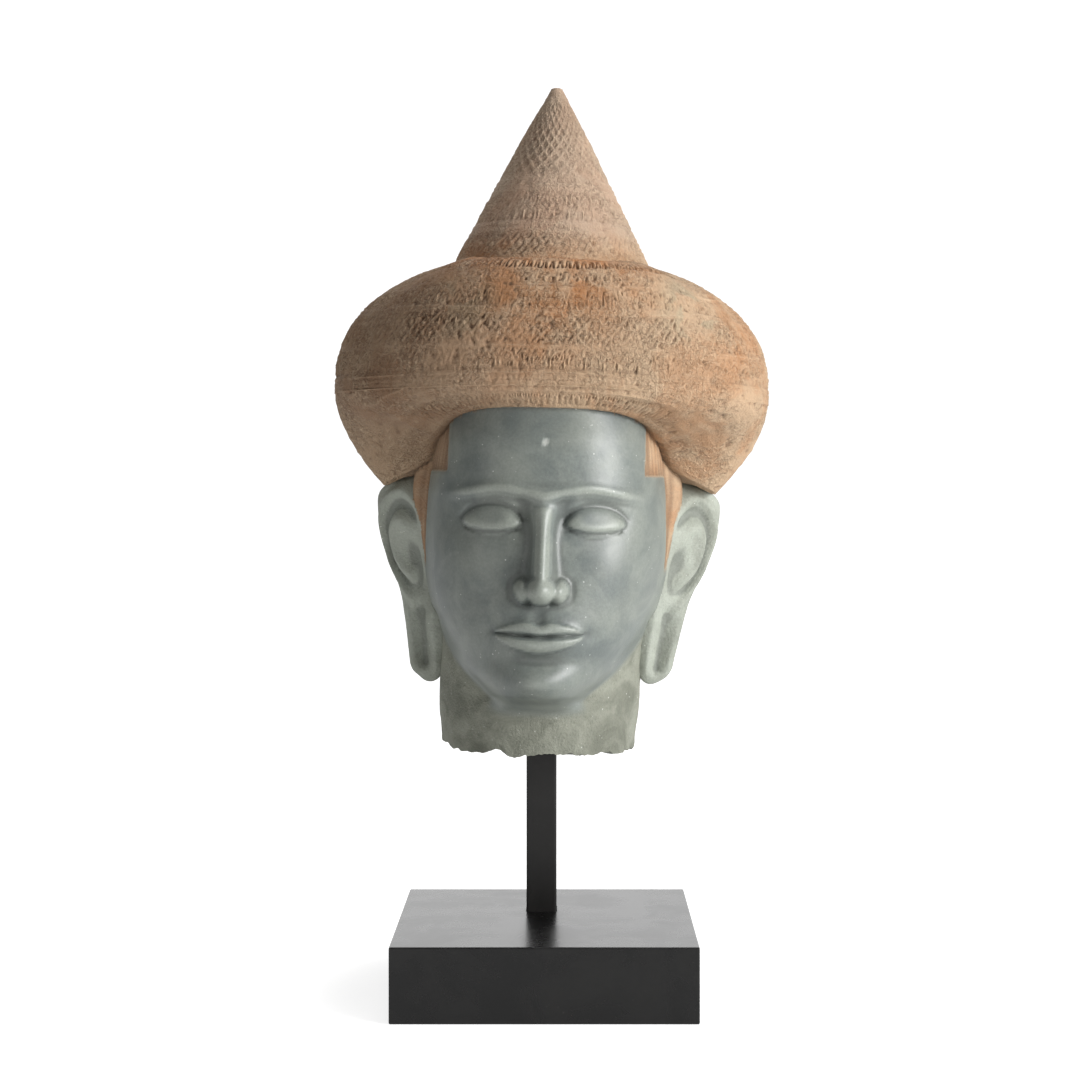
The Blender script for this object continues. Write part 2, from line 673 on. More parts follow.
def arches(u, v):
    """A row of round arches, each over a flower, with leaves between them."""
    x = cell(u)
    arch = (np.abs(x) / 0.86) ** 2.3 + np.clip(v / 0.9, 0, None) ** 2.3
    hoop = gauss((arch - 0.88) / 0.17)
    inner = rosette(x / 0.58, (v - 0.36) / 0.36, 8) * (arch < 0.8)
    leaf = gauss((1 - np.abs(x)) / 0.16) * smoothstep(0.1, 0.8, v)
    return np.maximum.reduce([hoop, 0.95 * inner, 0.85 * leaf])


def scrolls(u, v):
    """Curling leaves, turned to the left and to the right by turns."""
    way = np.where(np.floor(u) % 2 == 0, 1.0, -1.0)
    x, y = cell(u) * way, v * 2 - 1
    r, turn = np.hypot(x, y), np.arctan2(y, x)
    curl = 0.5 + 0.5 * np.cos(turn - 8.2 * r)
    tips = 0.5 + 0.5 * np.cos(7 * turn + 2 * r)
    outer = smoothstep(0.75, 1.0, r)
    return (1 - outer) * curl + outer * tips * 0.85


def beads(u, v):
    """A string of round beads."""
    return np.sqrt(np.clip(1 - cell(u) ** 2 - (v * 2 - 1) ** 2, 0, 1))


def band(v, low, high):
    """How far v lies up a band, and 1 inside it with soft edges."""
    edge = 0.06 * (high - low)
    inside = smoothstep(low, low + edge, v) * smoothstep(high, high - edge, v)
    return (v - low) / (high - low), inside


def fillet(v, at, half_width):
    """A narrow raised line."""
    return gauss((v - at) / half_width)


def crown_carving(u, f):
    """The wall's carving, from 0 to 1, at u motifs round it and a share f of its height."""
    low, in_low = band(f, 0.02, 0.15)
    net, in_net = band(f, 0.18, 0.37)
    high, in_high = band(f, 0.42, 0.55)
    top, in_top = band(f, 0.58, 0.69)
    rim, in_rim = band(f, 0.72, 0.80)
    leaf, in_leaf = band(f, 0.84, 0.97)
    filler = 0.7 * foliage(u * 2, f * 17)
    h = in_low * np.maximum(arches(u, low), filler)
    h += in_net * np.maximum(lozenges(u, net * 1.5), filler)
    h += in_high * np.maximum(arches(u, high), filler)
    h += in_top * np.maximum(scrolls(u, top), filler)
    h += in_rim * petals(u * 2, 1 - rim)
    h += in_leaf * (0.3 + 0.45 * petals(u * 2, 1 - leaf))
    plain = 1 - np.clip(in_low + in_net + in_high + in_top + in_rim + in_leaf, 0, 1)
    lines = [
        (0.165, 0.007), (0.385, 0.007), (0.405, 0.006), (0.565, 0.007), (0.705, 0.008),
        (0.82, 0.012),
    ]
    raised = sum(fillet(f, at, half_width) for at, half_width in lines)
    return h + plain * (0.4 + 0.6 * np.clip(raised, 0, 1))


def flare_carving(u, up, a):
    """Petals along the hem, arcs that follow it above and worn leaves, by height above the hem."""
    degrees = np.abs(np.degrees(a))
    row, in_row = band(up, 2.0, 8.0)
    in_row = in_row * smoothstep(58, 46, degrees)
    beside = smoothstep(30, 46, degrees)
    arcs = fillet(up, 1.0, 0.9) + fillet(up, 9.6, 0.8)
    arcs = arcs + beside * sum(fillet(up, at, 0.9) for at in (5.4, 14.0, 18.6, 27.0))
    leaves = foliage(u * 1.5, up / 11)
    ground = 0.5 + 0.34 * (leaves - 0.5) * smoothstep(9, 13, up)
    above = np.clip(ground + 0.42 * arcs, 0, 1)
    return in_row * (0.25 + 0.6 * petals(u * 3, row)) + (1 - in_row) * above


def wall_profile(c, a, count):
    """The crown's wall from its ring up to the cone's foot, at even steps along its curve."""
    turn = np.linspace(0, np.pi / 2, 160)[:, None]
    facing = smoothstep(0.4, 0.98, np.cos(a))
    height = WALL_SIDE_HEIGHT + (WALL_FRONT_HEIGHT - WALL_SIDE_HEIGHT) * facing
    power = WALL_SIDE_POWER + (WALL_FRONT_POWER - WALL_SIDE_POWER) * facing
    top_radius = WALL_TOP_RADIUS * facing
    z = c.ring_z(a) + RING_HALF + height * np.sin(turn) ** (2 / power)
    r = top_radius + (c.plan(a) - top_radius) * np.cos(turn) ** (2 / power)
    wall = np.empty((count, len(a), 2))
    for k in range(len(a)):
        met = (r[:, k] < c.cone_radius(z[:, k]) + 2.0) & (turn[:, 0] > 0.6)
        last = np.argmax(met) if met.any() else len(turn) - 1
        steps = np.hypot(np.diff(r[: last + 1, k]), np.diff(z[: last + 1, k]))
        way = np.concatenate([[0], np.cumsum(steps)])
        even = np.linspace(0, way[-1], count)
        wall[:, k, 0] = np.interp(even, way, r[: last + 1, k])
        wall[:, k, 1] = np.interp(even, way, z[: last + 1, k])
    return wall


def crown_skin(c):
    """The crown: its hem and flare, its beaded ring and its carved wall."""
    a = stops_round((0, 0.5), (40, 0.46), (84, 0.46), (98, 1.6), (116, 3.2), (180, 4.2))
    plan = c.plan(a)
    edge = np.stack([plan * np.sin(a), -plan * np.cos(a)], -1)
    s = np.concatenate([[0], np.cumsum(np.linalg.norm(np.diff(edge, axis=0), axis=1))])
    s -= s[len(s) // 2]
    motifs = 2 * round(s[-1] / c.motif)
    u = s / s[-1] * motifs / 2
    plain_back = smoothstep(96, 120, np.abs(np.degrees(a)))

    hem = c.hem_z(a)
    hem_radius = c.hem_radius(a)
    ring = c.ring_z(a)
    low, high = ring - RING_HALF, ring + RING_HALF
    under = np.array([
        np.stack([hem_radius - 12, hem + 5], -1), np.stack([hem_radius - 2, hem + 0.3], -1)
    ])
    t = np.linspace(1, 0, 27)[:, None]
    flare = np.stack([plan - (plan - hem_radius) * t**1.8, low - (low - hem) * t], -1)
    v = np.linspace(0, 1, 13)[1:, None]
    ring_part = np.stack([plan + 0 * v, low + (high - low) * v], -1)
    wall = wall_profile(c, a, WALL_ROWS)[1:]
    foot = wall[-1:].copy()
    foot[..., 0], foot[..., 1] = c.cone_radius(foot[..., 1]) - 6, foot[..., 1] - 1.5
    profile = np.concatenate([under, flare, ring_part, wall, foot])
    r, z = np.moveaxis(profile, -1, 0)
    skin = np.stack([r * np.sin(a), -r * np.cos(a), z], -1)

    worn = 0.9 + 0.75 * rough(skin, 34, 3) - 0.55 * smoothstep(1.75, 2.6, np.abs(a))
    drift = 0.16 * rough(skin, 26, 3)
    flare_row = len(under)
    ring_row = flare_row + len(flare)
    wall_row = ring_row + len(ring_part)
    cut = np.full(r.shape, 0.5)
    rows = slice(flare_row, ring_row)
    cut[rows] = flare_carving(u + drift[rows], z[rows] - hem, a)
    ring_rows = slice(ring_row, wall_row)
    ringed, in_ring = band(v, 0.40, 0.76)
    lines = sum(fillet(v, at, 0.06) for at in (0.083, 0.30, 0.92))
    between = (1 - in_ring) * (0.4 + 0.6 * np.clip(lines, 0, 1))
    cut[ring_rows] = in_ring * (0.45 + 0.5 * beads(u * 3 + drift[ring_rows], ringed)) + between
    rows = slice(wall_row, wall_row + len(wall))
    f = np.linspace(0, 1, WALL_ROWS)[1:, None]
    cut[rows] = crown_carving(u + drift[rows], f + 0.05 * drift[rows])
    cut += plain_back * (np.mean(cut, 1, keepdims=True) - cut)
    relief = (cut - 0.66) * c.depth * np.clip(worn, 0.15, 1.3)
    relief[ring_rows] *= 0.75 - 0.4 * smoothstep(50, 80, np.abs(np.degrees(a)))
    relief[ring_rows] += 0.4
    relief[:3] = 0
    relief[-1] = 0
    pits = np.clip(rough(skin, 6, 3) - 0.3, 0, 1)
    weather = 0.3 * rough(skin, 15, 3) + 0.22 * rough(skin, 3.2, 2) - 1.6 * pits
    nick_centre = np.array([-c.crown_half * 0.985, 0, NICK_Z])
    nick = np.exp(-(np.linalg.norm(skin - nick_centre, axis=-1) / NICK_RADIUS) ** 4)
    lift = relief + weather - 1.6 * nick
    lift[:3] *= 0.3
    skin = skin + outward(skin) * lift[..., None]
    skin[..., 0] += CROWN_X
    hollow = (lift - blurred(lift, 8)) / (1.5 * c.depth) + 0.5
    pole = np.broadcast_to([CROWN_X, 0, CROWN_FLOOR_Z], skin[:1].shape)
    cap = np.broadcast_to([CROWN_X, 0, CROWN_CAP_Z], skin[:1].shape)
    whole = np.concatenate([pole, skin, cap])
    hollow = np.concatenate([hollow[:1], hollow, hollow[-1:]])
    climb = np.hypot(np.diff(r, axis=0), np.diff(z, axis=0))
    climb = np.concatenate([0 * climb[:1], np.cumsum(climb, 0)]) - np.sum(climb[:ring_row], 0)
    climb = np.concatenate([climb[:1], climb, climb[-1:]])
    marks = {
        "crown": 1.0, "hollow": np.clip(hollow, 0, 1), "matt": 1.0, "round": np.abs(s) * MM,
        "rise": climb * MM,
    }
    return closed_skin("crown", c.placed(whole), marks)


def cone_carving(turn, z):
    """The cone's carving: petals at its foot, arches, then a lattice up to its plain tip."""
    foot, in_foot = band(z, 449, 463)
    arch, in_arch = band(z, 471, 488.5)
    net, in_net = band(z, 499, 549)
    h = in_foot * lozenges(turn * 36, foot) + in_arch * arches(turn * 32, arch)
    h += in_net * lattice(turn * 26, net * 6)
    plain = 1 - np.clip(in_foot + in_arch + in_net, 0, 1)
    lines = sum(fillet(z, at, 0.9) for at in (446.5, 465.2, 468.6, 491.0, 494.0, 497.0, 551.0))
    return h + plain * (0.4 + 0.6 * np.clip(lines, 0, 1))


def cone_skin(c):
    """The tall cone on top of the crown."""
    a = stops_round((0, 1.4), (80, 1.4), (100, 3.2), (180, 4.2))
    z = stops((438, 2.0), (447, 1.5), (549, 1.4), (557, 1.0))
    a, z = np.meshgrid(a, z)
    r = c.cone_radius(z)
    skin = np.stack([r * np.sin(a), -r * np.cos(a), z], -1)
    turn = (a / (2 * np.pi)) + 0.004 * rough(skin, 20, 2)
    cut = cone_carving(turn, z + 0.5 * rough(skin, 18, 2))
    worn = (0.85 + 0.35 * rough(skin, 30, 2)) * (0.35 + 0.65 * smoothstep(560, 520, z))
    worn *= 1 - 0.5 * smoothstep(1.75, 2.6, np.abs(a))
    pits = np.clip(rough(skin, 6, 3) - 0.34, 0, 1)
    lift = (cut - 0.6) * 0.95 * c.depth * worn
    lift = lift + 0.2 * rough(skin, 12, 3) + 0.16 * rough(skin, 3.2, 2) - 1.2 * pits
    lift *= smoothstep(563, 552, z)
    skin = skin + outward(skin) * lift[..., None]
    skin[..., 0] += CONE_X
    hollow = (lift - blurred(lift, 6)) / (1.4 * c.depth) + 0.5
    shares, tops = np.array([(0.93, 557.7), (0.62, 558.2), (0.0, 558.4)]).T
    middle = np.array([CONE_X, 0, 0])
    tip = middle + (skin[-1:] - middle) * shares[:, None, None]
    tip[..., 2] = tops[:, None]
    pole = np.broadcast_to([CONE_X, 0, CONE_FLOOR_Z], skin[:1].shape)
    whole = np.concatenate([pole, skin, tip])
    hollow = np.concatenate([hollow[:1], hollow, np.full(tip.shape[:2], 0.5)])
    level = whole[..., 2]
    marks = {
        "crown": 1.0, "hollow": np.clip(hollow, 0, 1), "matt": 1.0,
        "round": np.abs(a[0]) * (0.6 * c.cone_radius(level) + 22) * MM, "rise": level * MM,
    }
    return closed_skin("cone", c.placed(whole), marks)


def ear_relief(across, z):
    """An ear's curled rim, folds and hollow above, and its long slit lobe below."""
    ring = np.hypot((across - 0.02) / 0.9, (z - 270) / 38)
    behind = smoothstep(-0.45, 0.0, across)
    upper = smoothstep(238, 252, z)
    d = 2.4 * gauss((ring - 0.93) / 0.11) * smoothstep(-0.9, -0.3, across + (z - 270) / 50)
    d -= 3.4 * gauss((ring - 0.69) / 0.12) * np.maximum(behind, smoothstep(282, 294, z)) * upper
    d += 2.4 * gauss((ring - 0.44) / 0.12) * behind * upper
    d -= 6.6 * gauss((across + 0.26) / 0.27) * gauss((z - 262) / 13)
    d += 2.2 * gauss((across + 0.8) / 0.15) * gauss((z - 258) / 8)
    slit = smoothstep(192, 199, z) * smoothstep(240, 230, z)
    d -= 4.0 * gauss((across - 0.05) / 0.3) * slit
    return d + 1.3 * (gauss((across - 0.66) / 0.2) + gauss((across + 0.62) / 0.2)) * slit


def ear_skin(c, side):
    """One ear, from its long lobe to its top, under the crown's flare."""
    low, high = EAR_SPAN[0] + 1.2 * side, EAR_SPAN[1]
    foot, lower, centre, upper = EAR_SPAN[0] + 0.5, 235, 270, 300
    outer = along((foot, 78), (193, 81), (207, 83.5), (lower, 88.6), (264, 98.8), (290, 106.8),
                  (302, 107.6), (309, 106), (high, 98))
    inner = along((foot, 60), (207, 60), (lower, 60.5), (264, 66), (high, 68))
    outer_y = along((foot, 10), (lower, 18), (centre, 30), (upper, 30), (high, 16))
    inner_y = along((foot, 4), (lower, -2), (centre, -10), (upper, -8), (high, 2))
    thickness = along((foot, 9), (lower, 13), (centre, 16), (high, 14))
    turns = np.concatenate([np.linspace(0, 0.5, 39), np.linspace(0.5, 1, 15)[1:]])
    if side > 0:
        turns = 1 - turns[::-1]
    phase, rise = np.meshgrid(-side * 2 * np.pi * turns, np.linspace(0, 1, 77))
    phase[:, -1] = 0
    z = low + (high - low) * (0.5 - 0.5 * np.cos(np.pi * rise)) ** 0.92
    middle = np.stack([outer(z) + inner(z), outer_y(z) + inner_y(z)], -1) / 2
    reach = np.stack([outer(z) - inner(z), outer_y(z) - inner_y(z)], -1) / 2
    ahead = np.stack([reach[..., 1], -reach[..., 0]], -1)
    ahead /= np.linalg.norm(ahead, axis=-1, keepdims=True)
    from_end = np.minimum((z - low) / 12, (high - z) / 17)
    closing = np.sqrt(np.clip(1 - np.clip(1 - from_end, 0, 1) ** 2, 0, 1))
    across, face = np.cos(phase), np.sin(phase)
    thick = thickness(z) / 2 * np.sign(face) * np.abs(face) ** 0.7
    relief = ear_relief(across, z) * smoothstep(0.1, 0.45, face)
    spot = np.stack([middle[..., 0] * side, middle[..., 1], z], -1)
    thick = thick + relief + 0.25 * rough(spot + across[..., None] * 5, 14)
    flat = middle + reach * (across * closing)[..., None] + ahead * (thick * closing)[..., None]
    skin = np.stack([flat[..., 0] * side + c.aside(z), flat[..., 1], z], -1)
    skin[0], skin[-1] = skin[0, :1], skin[-1, :1]
    hollow = np.clip((relief - blurred(relief, 12)) / 2.7 + 0.5, 0, 1)
    return closed_skin("ear", c.placed(skin), {"hollow": hollow, "matt": 0.75, "ear": 1.0})


# Node groups and materials

COLUMN_STEP, ROW_STEP = 220, 190


class Wiring:
    """Wires up a node tree, and places each node to the right of those that feed it."""

    def __init__(self, tree):
        self.tree = tree
        self.columns = {}
        self.rows = {}

    def add(self, kind, inputs, **settings):
        """A node with its settings, and with its inputs set or linked."""
        made = self.tree.nodes.new(kind)
        for name, value in settings.items():
            setattr(made, name, value)
        self.feed(made, inputs)
        return made

    def feed(self, made, inputs):
        """Sets or links a node's inputs, by their name or number, and places it."""
        column = 0
        for key, value in inputs.items():
            if isinstance(value, bpy.types.NodeSocket):
                self.tree.links.new(value, made.inputs[key])
                column = max(column, self.columns.get(value.node.name, 0) + 1)
            else:
                made.inputs[key].default_value = value
        row = self.rows.get(column, 0)
        self.columns[made.name], self.rows[column] = column, row + 1
        made.location = (COLUMN_STEP * column, -ROW_STEP * row)

    def maths(self, operation, *values, clamp=False):
        """The result of a sum on two or three values."""
        inputs = dict(enumerate(values))
        return self.add("ShaderNodeMath", inputs, operation=operation, use_clamp=clamp).outputs[0]

    def times(self, a, b):
        """Two values multiplied."""
        return self.maths("MULTIPLY", a, b)

    def larger(self, a, b):
        """The larger of two values."""
        return self.maths("MAXIMUM", a, b)

    def scaled(self, value, by, start):
        """A value times a factor, on top of a start."""
        return self.maths("MULTIPLY_ADD", value, by, start)

    def step(self, value, low, high):
        """A soft step from 0 to 1 between two values."""
        inputs = {"Value": value, "From Min": low, "From Max": high}
        made = self.add("ShaderNodeMapRange", inputs, interpolation_type="SMOOTHSTEP")
        return made.outputs["Result"]

    def tint(self, share, under, over, mode="MIX"):
        """A colour with a share of another over it."""
        inputs = {0: share}
        for key, item in ((6, under), (7, over)):
            inputs[key] = item if isinstance(item, bpy.types.NodeSocket) else (*item, 1.0)
        return self.add("ShaderNodeMix", inputs, data_type="RGBA", blend_type=mode).outputs[2]

    def noise(self, where, scale, detail=2.0, roughness=0.5, distortion=0.0):
        """Fractal noise of 0 to 1."""
        inputs = {
            "Vector": where, "Scale": scale, "Detail": detail, "Roughness": roughness,
            "Distortion": distortion,
        }
        return self.add("ShaderNodeTexNoise", inputs).outputs[0]

    def on_piece(self):
        """The place on the piece, in metres."""
        return self.add("ShaderNodeTexCoord", {}).outputs["Object"]

    def near(self, centre, inner, outer):
        """1 close to a place of the piece, fading to 0."""
        inputs = {0: self.on_piece(), 1: centre}
        gap = self.add("ShaderNodeVectorMath", inputs, operation="DISTANCE")
        return self.step(gap.outputs["Value"], outer, inner)

    def mark(self, name):
        """A named value that the carving left on the surface."""
        made = self.add("ShaderNodeAttribute", {}, attribute_type="GEOMETRY", attribute_name=name)
        return made.outputs["Fac"]

    def bump(self, height, distance, strength=1.0):
        """A normal that follows a height."""
        inputs = {"Height": height, "Distance": distance, "Strength": strength}
        return self.add("ShaderNodeBump", inputs).outputs["Normal"]


def new_group(name, inputs, outputs):
    """A node group with its named sockets, its wiring and what its inputs bring in. An input
    with a highest value is a number from 0 up to it, and one without is a vector."""
    group = bpy.data.node_groups.new(name, "ShaderNodeTree")
    add_socket = group.interface.new_socket
    for label, default, highest in inputs:
        kind = "NodeSocketFloat" if highest else "NodeSocketVector"
        socket = add_socket(name=label, in_out="INPUT", socket_type=kind)
        socket.default_value = default
        if highest:
            socket.min_value, socket.max_value = 0.0, highest
    for label in outputs:
        add_socket(name=label, in_out="OUTPUT", socket_type="NodeSocketFloat")
    w = Wiring(group)
    return group, w, w.add("NodeGroupInput", {}).outputs[: len(inputs)]


def speckle_group():
    """Clouds, grains and specks of stone, as masks and a height."""
    group, w, (where, clouds, grains) = new_group(
        "stone grain",
        [("Vector", (0, 0, 0), None), ("Cloud Scale", 18.0, 500.0), ("Grain Scale", 700.0, 5000.0)],
        ["Cloud", "Grain", "Specks", "Height"],
    )
    cloud = w.noise(where, clouds, 5.0, 0.62, 0.6)
    grain = w.noise(where, grains, 3.0, 0.7)
    dots = w.add("ShaderNodeTexVoronoi", {"Vector": where, "Scale": w.times(grains, 0.6)})
    rare = w.noise(where, w.times(grains, 0.3))
    specks = w.times(w.step(dots.outputs["Distance"], 0.24, 0.10), w.step(rare, 0.60, 0.70))
    w.add("NodeGroupOutput", {
        "Cloud": w.step(cloud, 0.36, 0.66),
        "Grain": w.step(grain, 0.3, 0.7),
        "Specks": specks,
        "Height": w.maths("SUBTRACT", grain, w.times(specks, 0.5)),
    })
    return group


def carved_grain_group():
    """Small worn motifs that run round the crown, as pits, ridges and a height."""
    group, w, (around, scale, place) = new_group(
        "worn carving",
        [("Vector", (0, 0, 0), None), ("Scale", 300.0, 2000.0), ("Wear Vector", (0, 0, 0), None)],
        ["Pits", "Ridges", "Height"],
    )
    inputs = {"Vector": around, "Scale": scale, "Randomness": 0.5}
    cells = w.add("ShaderNodeTexVoronoi", inputs, feature="DISTANCE_TO_EDGE")
    leaves = w.noise(around, w.times(scale, 1.6), 3.0, 0.65, 1.2)
    here = w.step(w.noise(place, 42.0, 3.0), 0.34, 0.62)
    line = w.times(w.step(cells.outputs["Distance"], 0.2, 0.02), w.step(leaves, 0.42, 0.56))
    ridges = w.times(w.larger(line, w.step(leaves, 0.52, 0.66)), here)
    holes = w.maths("SUBTRACT", w.step(leaves, 0.47, 0.34), line, clamp=True)
    pits = w.times(holes, here)
    height = w.maths("SUBTRACT", ridges, pits)
    w.add("NodeGroupOutput", {"Pits": pits, "Ridges": ridges, "Height": height})
    return group


def grained(w, cloud_scale, grain_scale):
    """The outputs of the shared stone grain on Object coordinates."""
    group = bpy.data.node_groups.get("stone grain") or speckle_group()
    inputs = {"Vector": w.on_piece(), "Cloud Scale": cloud_scale, "Grain Scale": grain_scale}
    return w.add("ShaderNodeGroup", inputs, node_tree=group).outputs


def worn_carving(w, scale):
    """The outputs of the worn carving, laid round the crown by its own marks."""
    around = w.add("ShaderNodeCombineXYZ", {0: w.mark("round"), 1: w.mark("rise")})
    inputs = {"Vector": around.outputs[0], "Scale": scale, "Wear Vector": w.on_piece()}
    return w.add("ShaderNodeGroup", inputs, node_tree=carved_grain_group()).outputs


def material(name):
    """An empty material, the wiring of its tree and its Principled shader."""
    made = bpy.data.materials.new(name)
    made.use_nodes = True
    return made, Wiring(made.node_tree), made.node_tree.nodes["Principled BSDF"]


def finish_shader(w, shader, inputs):
    """Feeds the shader and places the material's output past it."""
    w.feed(shader, inputs)
    w.feed(w.tree.nodes["Material Output"], {"Surface": shader.outputs[0]})


RUST_TOP = (-0.01, -0.06, 0.45)
RUST_RIGHT = (0.118, -0.04, 0.405)
LICHEN_LEFT, LICHEN_RIGHT = (-0.048, -0.07, 0.416), (0.083, -0.05, 0.411)
SOOT_LEFT = (-0.105, -0.05, 0.385)
DEEP_CARVING = (-0.03, -0.085, 0.425)
CONE_FOOT = (0.446, 0.47)
CREASE = (0.05, 0.055, 0.05)


def crown_colour(w, colours, coarse, broad, worn, hollow):
    """Tan with rust, lichen and dirt, a greyer cone, dark pits and pale ridges."""
    rust = w.larger(w.near(RUST_TOP, 0.03, 0.1), w.times(w.near(RUST_RIGHT, 0.01, 0.06), 0.25))
    rust = w.times(w.step(broad["Cloud"], -0.4, 1.0), rust)
    stains = w.times(w.step(coarse["Cloud"], 0.35, 1.0), 0.5)
    tan = w.tint(w.maths("ADD", rust, stains, clamp=True), colours.crown_tan, colours.crown_rust)
    lichen = w.larger(w.near(LICHEN_LEFT, 0.006, 0.03), w.near(LICHEN_RIGHT, 0.006, 0.034))
    lichen = w.times(lichen, w.step(broad["Cloud"], 0.25, 0.6))
    tan = w.tint(w.times(lichen, 0.55), tan, colours.crown_lichen)
    soot = w.times(w.near(SOOT_LEFT, 0.04, 0.135), w.scaled(coarse["Cloud"], 0.3, 0.45))
    tan = w.tint(soot, tan, colours.crown_soot)
    height = w.add("ShaderNodeSeparateXYZ", {0: w.on_piece()}).outputs["Z"]
    tan = w.tint(w.times(w.step(height, *CONE_FOOT), 0.6), tan, colours.cone_tan)
    pit = w.larger(w.step(hollow, 0.5, 0.15), w.times(worn["Pits"], 0.6))
    deep = w.scaled(w.near(DEEP_CARVING, 0.02, 0.07), 0.45, 0.55)
    tan = w.tint(w.times(pit, deep), tan, colours.crown_pit)
    ridge = w.larger(w.step(hollow, 0.55, 0.95), w.times(worn["Ridges"], 0.7))
    return w.tint(w.times(ridge, 0.42), tan, colours.crown_ridge)


def bare_stone_colour(w, colours, coarse, broad, hollow, matt):
    """Clouded grey-green on the rubbed face, and olive on the matt neck and ears."""
    face = w.tint(coarse["Cloud"], colours.face_grey, colours.face_blue)
    face = w.tint(w.times(w.step(broad["Cloud"], -0.2, 1.1), 0.2), face, colours.face_pale)
    face = w.tint(w.times(w.step(hollow, 0.6, 1.1), 0.45), face, colours.face_pale)
    olive = w.tint(broad["Cloud"], colours.neck_olive, colours.neck_dark)
    stone = w.tint(matt, face, olive)
    ear_wear = w.times(w.mark("ear"), w.step(coarse["Cloud"], -0.6, 0.9))
    stone = w.tint(w.times(ear_wear, 0.85), stone, colours.face_pale)
    specks = w.times(coarse["Specks"], w.scaled(matt, 0.3, 0.5))
    stone = w.tint(specks, stone, colours.chip_pale)
    stone = w.tint(w.mark("chip"), stone, colours.chip_pale)
    return w.tint(w.times(w.step(hollow, 0.4, 0.0), 0.45), stone, CREASE)


def stone_material(colours):
    """Tan carved crown, rubbed grey-green face, matt olive neck and ears."""
    made, w, shader = material("carved stone")
    coarse, broad = grained(w, 16.0, 620.0), grained(w, 38.0, 1500.0)
    worn = worn_carving(w, 230.0)
    crown, hollow, matt = (w.mark(name) for name in ("crown", "hollow", "matt"))
    tan = crown_colour(w, colours, coarse, broad, worn, hollow)
    bare = bare_stone_colour(w, colours, coarse, broad, hollow, matt)
    grain_shade = w.scaled(coarse["Grain"], 0.16, 0.92)
    dull = w.larger(crown, matt)
    grain_height = w.times(coarse["Height"], w.scaled(dull, 1.3, 0.15))
    leaf_height = w.times(w.times(worn["Height"], crown), 0.7)
    finish_shader(w, shader, {
        "Base Color": w.tint(1.0, w.tint(crown, bare, tan), grain_shade, "MULTIPLY"),
        "Roughness": w.scaled(coarse["Grain"], 0.10, w.scaled(dull, 0.36, 0.34)),
        "Normal": w.bump(w.maths("ADD", grain_height, leaf_height), 0.0008, 0.8),
    })
    return made


def black_material(name, base, scuff, roughness, grain_scale):
    """Satin black with fine scuffs and a faint unevenness."""
    made, w, shader = material(name)
    grain = grained(w, 24.0, grain_scale)
    tint = w.tint(w.times(grain["Cloud"], 0.08), base, scuff)
    finish_shader(w, shader, {
        "Base Color": w.tint(w.times(grain["Specks"], 0.2), tint, scuff),
        "Roughness": w.scaled(grain["Cloud"], 0.035, roughness),
        "Normal": w.bump(grain["Height"], 0.00004),
        "Specular IOR Level": 0.37,
    })
    return made


def white_floor(glow):
    """A white floor that looks brighter than the light it gives back."""
    made, w, shader = material("white floor")
    seen = w.scaled(w.near((0, 0, 0), 0.115, 0.2), -0.29, 1.05)
    rays = w.add("ShaderNodeLightPath", {}).outputs["Is Camera Ray"]
    finish_shader(w, shader, {
        "Base Color": (0.5, 0.5, 0.5, 1),
        "Roughness": 0.9,
        "Specular IOR Level": 0.0,
        "Emission Color": WHITE,
        "Emission Strength": w.scaled(rays, w.maths("SUBTRACT", seen, glow), glow),
    })
    return made


def pale_room(backdrop, room_light):
    """A pale world with a bright wall behind, which the camera sees as plain white."""
    world = bpy.data.worlds.new("pale room")
    world.use_nodes = True
    nodes, w = world.node_tree.nodes, Wiring(world.node_tree)
    way = w.add("ShaderNodeTexCoord", {}).outputs["Generated"]
    behind = w.add("ShaderNodeVectorMath", {0: way, 1: WALL_WAY}, operation="DOT_PRODUCT")
    wall = w.times(w.step(behind.outputs["Value"], 0.72, 0.95), backdrop)
    room = nodes["Background"]
    w.feed(room, {"Color": WHITE, "Strength": w.maths("ADD", wall, room_light)})
    seen = w.add("ShaderNodeBackground", {"Color": WHITE, "Strength": 1.1})
    rays = w.add("ShaderNodeLightPath", {}).outputs["Is Camera Ray"]
    mixed = w.add("ShaderNodeMixShader", {0: rays, 1: room.outputs[0], 2: seen.outputs[0]})
    w.feed(nodes["World Output"], {"Surface": mixed.outputs[0]})
    return world


def area_light(name, place, size, power):
    """A square soft light that looks at the middle of the work."""
    data = bpy.data.lights.new(name, "AREA")
    data.shape, data.size, data.energy = "SQUARE", size, power
    light = bpy.data.objects.new(name, data)
    light.location = place
    light.rotation_mode = "QUATERNION"
    light.rotation_quaternion = (WORK_MIDDLE - light.location).to_track_quat("-Z", "Y")
    bpy.context.scene.collection.objects.link(light)


def seat(piece, node_name, look):
    """Hands a finished piece to the frame in place of its CAD node."""
    piece.data.materials.clear()
    piece.data.materials.append(look)
    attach(piece, BODY)
    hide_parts(node_name)


# Operators

class STONEHEAD_OT_head(Operator):
    """Carve the head, its ears and its crown as one stone"""

    bl_idname = "stone_head.carve_head"
    bl_label = "Carve Head"

    def execute(self, context):
        c = Carving(context.scene.head_sizes)
        piece = head_skin(c)
        joined(piece, [crown_skin(c), cone_skin(c), ear_skin(c, 1), ear_skin(c, -1)])
        joined(piece, [post_pocket()], "DIFFERENCE")
        marked_seams(piece)
        piece.data.set_sharp_from_angle(angle=SHARP_EDGE)
        piece.name = piece.data.name = "carved_head"
        seat(piece, HEAD_NODE, stone_material(context.scene.stone_colours))
        return {"FINISHED"}


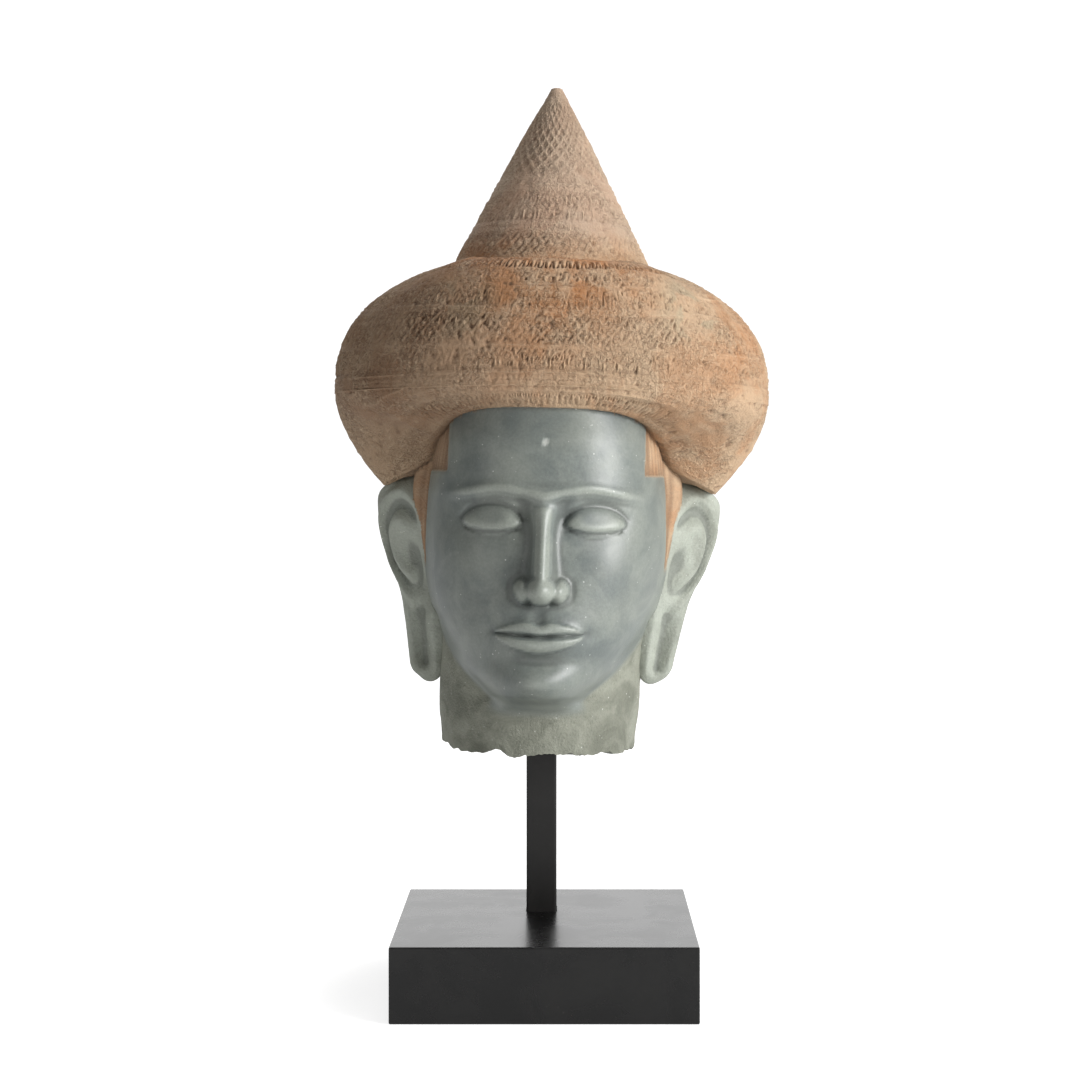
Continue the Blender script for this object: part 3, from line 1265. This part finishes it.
class STONEHEAD_OT_post(Operator):
    """Set the square post between the base and the neck"""

    bl_idname = "stone_head.set_post"
    bl_label = "Set Post"

    def execute(self, context):
        finish = context.scene.mount_finish
        piece = bevelled_box("square_post", *POST_BOX, finish.post_arris)
        look = black_material("satin black steel", finish.post_black, finish.scuff, 0.34, 900.0)
        seat(piece, POST_NODE, look)
        return {"FINISHED"}


class STONEHEAD_OT_base(Operator):
    """Set the block base with the post's socket in its top"""

    bl_idname = "stone_head.set_base"
    bl_label = "Set Base"

    def execute(self, context):
        finish = context.scene.mount_finish
        piece = bevelled_box("base_block", *BASE_BOX, finish.block_arris)
        joined(piece, [post_pocket()], "DIFFERENCE")
        look = black_material("satin black lacquer", finish.block_black, finish.scuff, 0.26, 500.0)
        seat(piece, BASE_NODE, look)
        return {"FINISHED"}


class STONEHEAD_OT_stage(Operator):
    """Set the white floor, the room, the lights and the camera"""

    bl_idname = "stone_head.set_stage"
    bl_label = "Set Stage"

    def execute(self, context):
        scene = context.scene
        light = scene.stage_light
        plane = bmesh.new()
        bmesh.ops.create_grid(plane, x_segments=1, y_segments=1, size=FLOOR_HALF)
        floor = finished("floor", plane, smooth=False)
        floor.data.materials.append(white_floor(light.floor_glow))

        scene.world = pale_room(light.backdrop, light.room_light)
        scene.view_settings.view_transform = "Standard"
        area_light("key", (1.42, -0.85, 0.62), 0.9, light.key_power)
        area_light("fill", (-1.6, -1.2, 0.6), 1.0, light.fill_power)
        area_light("top", (0.2, 0.1, 1.8), 1.0, light.top_power)

        lens = bpy.data.cameras.new("camera")
        lens.lens = light.focal_px / PICTURE_PX * lens.sensor_width
        lens.shift_x, lens.shift_y = SHIFT_X_PX / PICTURE_PX, SHIFT_Y_PX / PICTURE_PX
        camera = bpy.data.objects.new("camera", lens)
        camera.location = (CAMERA_X, -light.camera_distance, light.camera_height)
        camera.rotation_euler = (math.pi / 2, 0, 0)
        scene.collection.objects.link(camera)
        scene.camera = camera
        return {"FINISHED"}


class STONEHEAD_PT_panel(Panel):
    """The sizes, colours and steps of the stone head"""

    bl_idname = "STONEHEAD_PT_panel"
    bl_label = "Stone Head"
    bl_space_type = "VIEW_3D"
    bl_region_type = "UI"
    bl_category = "Stone Head"

    def draw(self, context):
        for group in GROUPS:
            settings = getattr(context.scene, group)
            box = self.layout.box()
            for name in settings.__annotations__:
                box.prop(settings, name)
        for step in STEPS:
            self.layout.operator(step.bl_idname)


GROUPS = {
    "head_sizes": HeadSizes,
    "stone_colours": StoneColours,
    "mount_finish": MountFinish,
    "stage_light": StageLight,
}
STEPS = (STONEHEAD_OT_head, STONEHEAD_OT_post, STONEHEAD_OT_base, STONEHEAD_OT_stage)


def register():
    """Registers the classes and puts their settings on the scene."""
    for kind in (*GROUPS.values(), *STEPS, STONEHEAD_PT_panel):
        bpy.utils.register_class(kind)
    for name, kind in GROUPS.items():
        setattr(bpy.types.Scene, name, PointerProperty(type=kind))


def unregister():
    """Takes the settings and the classes off again."""
    for name in GROUPS:
        delattr(bpy.types.Scene, name)
    for kind in reversed((*GROUPS.values(), *STEPS, STONEHEAD_PT_panel)):
        bpy.utils.unregister_class(kind)


def main():
    """Builds every piece and the stage."""
    register()
    bpy.ops.stone_head.carve_head()
    bpy.ops.stone_head.set_post()
    bpy.ops.stone_head.set_base()
    bpy.ops.stone_head.set_stage()


if __name__ == "__main__":
    main()
